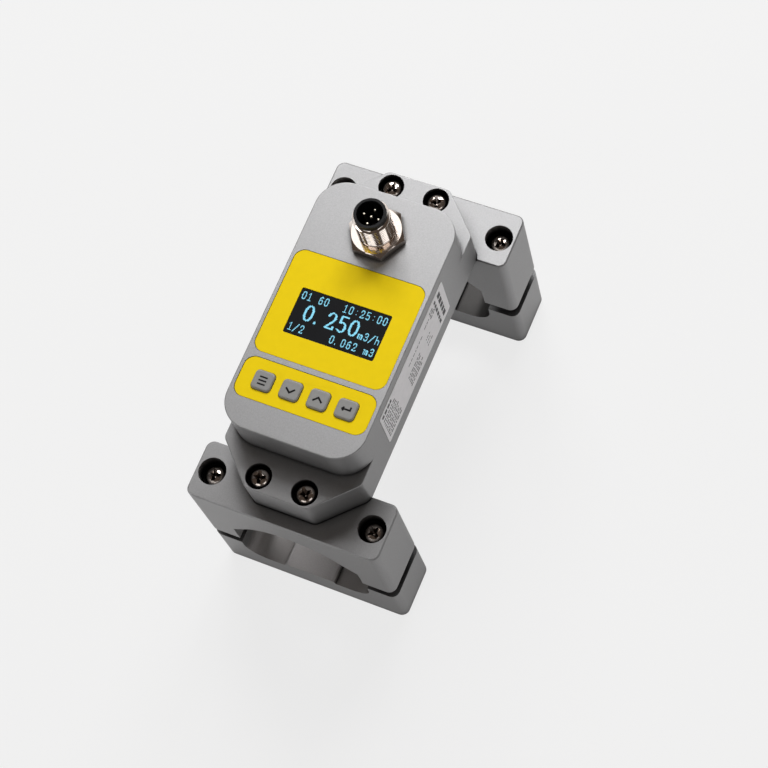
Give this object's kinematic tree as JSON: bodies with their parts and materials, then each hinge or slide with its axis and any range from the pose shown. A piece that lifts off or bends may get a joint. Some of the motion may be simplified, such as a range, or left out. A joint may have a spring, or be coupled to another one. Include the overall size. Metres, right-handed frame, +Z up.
{
  "type": "ultrasonic flow meter",
  "caption": "Clamp-on ultrasonic flow meter: a milled housing with a display, keys and cable connector, held on a pipe by two split jaws.",
  "frame": {"origin": "middle of the footprint, on the surface that the two lower jaws stand on", "axes": "+Z up out of the display, +Y along the pipe towards the cable connector, +X across towards the label side"},
  "size_m": [0.068, 0.1262, 0.1069],
  "materials": {
    "anodised_aluminium": "bead-blasted, clear anodised",
    "screw_steel": "bright stainless",
    "nickel_plate": "bright nickel",
    "gold_pin": "gold plated",
    "black_plastic": "moulded",
    "carrier_plastic": "glass-filled, moulded",
    "wedge_plastic": "machined",
    "piezo_ceramic": "sintered, silvered",
    "lead_insulation": "extruded",
    "yellow_film": "printed film, fine texture",
    "display_glass": "polished",
    "circuit_board": "solder mask",
    "black_rubber": "moulded",
    "coupling_rubber": "moulded",
    "key_rubber": "moulded, soft matt",
    "label_foil": "printed foil"
  },
  "bodies": {
    "meter": {"housing": "anodised_aluminium", "front_upper_jaw": "anodised_aluminium", "rear_upper_jaw": "anodised_aluminium", "tongue_screws": "screw_steel", "clamp_screws": "screw_steel", "sensor_carrier": "carrier_plastic", "carrier_seal": "black_rubber", "carrier_screws": "screw_steel", "coupling_pad": "coupling_rubber", "upstream_wedge": "wedge_plastic", "upstream_piezo": "piezo_ceramic", "upstream_leads": "lead_insulation", "downstream_wedge": "wedge_plastic", "downstream_piezo": "piezo_ceramic", "downstream_leads": "lead_insulation", "display_film": "yellow_film", "key_film": "yellow_film", "display_lens": "display_glass", "display_panel": "display_glass", "panel_frame": "black_plastic", "main_board": "circuit_board", "board_screws": "screw_steel", "key_switches": "black_plastic", "board_chips": "black_plastic", "connector_shell": "nickel_plate", "connector_insert": "black_plastic", "connector_pins": "gold_pin", "connector_nut": "nickel_plate", "connector_seal": "black_rubber", "side_label": "label_foil"},
    "front_clamp": {"front_lower_jaw": "anodised_aluminium"},
    "rear_clamp": {"rear_lower_jaw": "anodised_aluminium"},
    "menu_button": {"menu_key": "key_rubber"},
    "down_button": {"down_key": "key_rubber"},
    "up_button": {"up_key": "key_rubber"},
    "enter_button": {"enter_key": "key_rubber"}
  },
  "joints": [
    {"name": "front_clamp_slide", "type": "slide", "parent": "meter", "child": "front_clamp", "axis": [0, 0, 1], "range_m": [-0.005, 0.005]},
    {"name": "rear_clamp_slide", "type": "slide", "parent": "meter", "child": "rear_clamp", "axis": [0, 0, 1], "range_m": [-0.005, 0.005]},
    {"name": "menu_key_press", "type": "slide", "parent": "meter", "child": "menu_button", "axis": [0, 0, -1], "range_m": [0, 0.0004], "stiffness_N_per_m": 1500},
    {"name": "down_key_press", "type": "slide", "parent": "meter", "child": "down_button", "axis": [0, 0, -1], "range_m": [0, 0.0004], "stiffness_N_per_m": 1500},
    {"name": "up_key_press", "type": "slide", "parent": "meter", "child": "up_button", "axis": [0, 0, -1], "range_m": [0, 0.0004], "stiffness_N_per_m": 1500},
    {"name": "enter_key_press", "type": "slide", "parent": "meter", "child": "enter_button", "axis": [0, 0, -1], "range_m": [0, 0.0004], "stiffness_N_per_m": 1500}
  ]
}
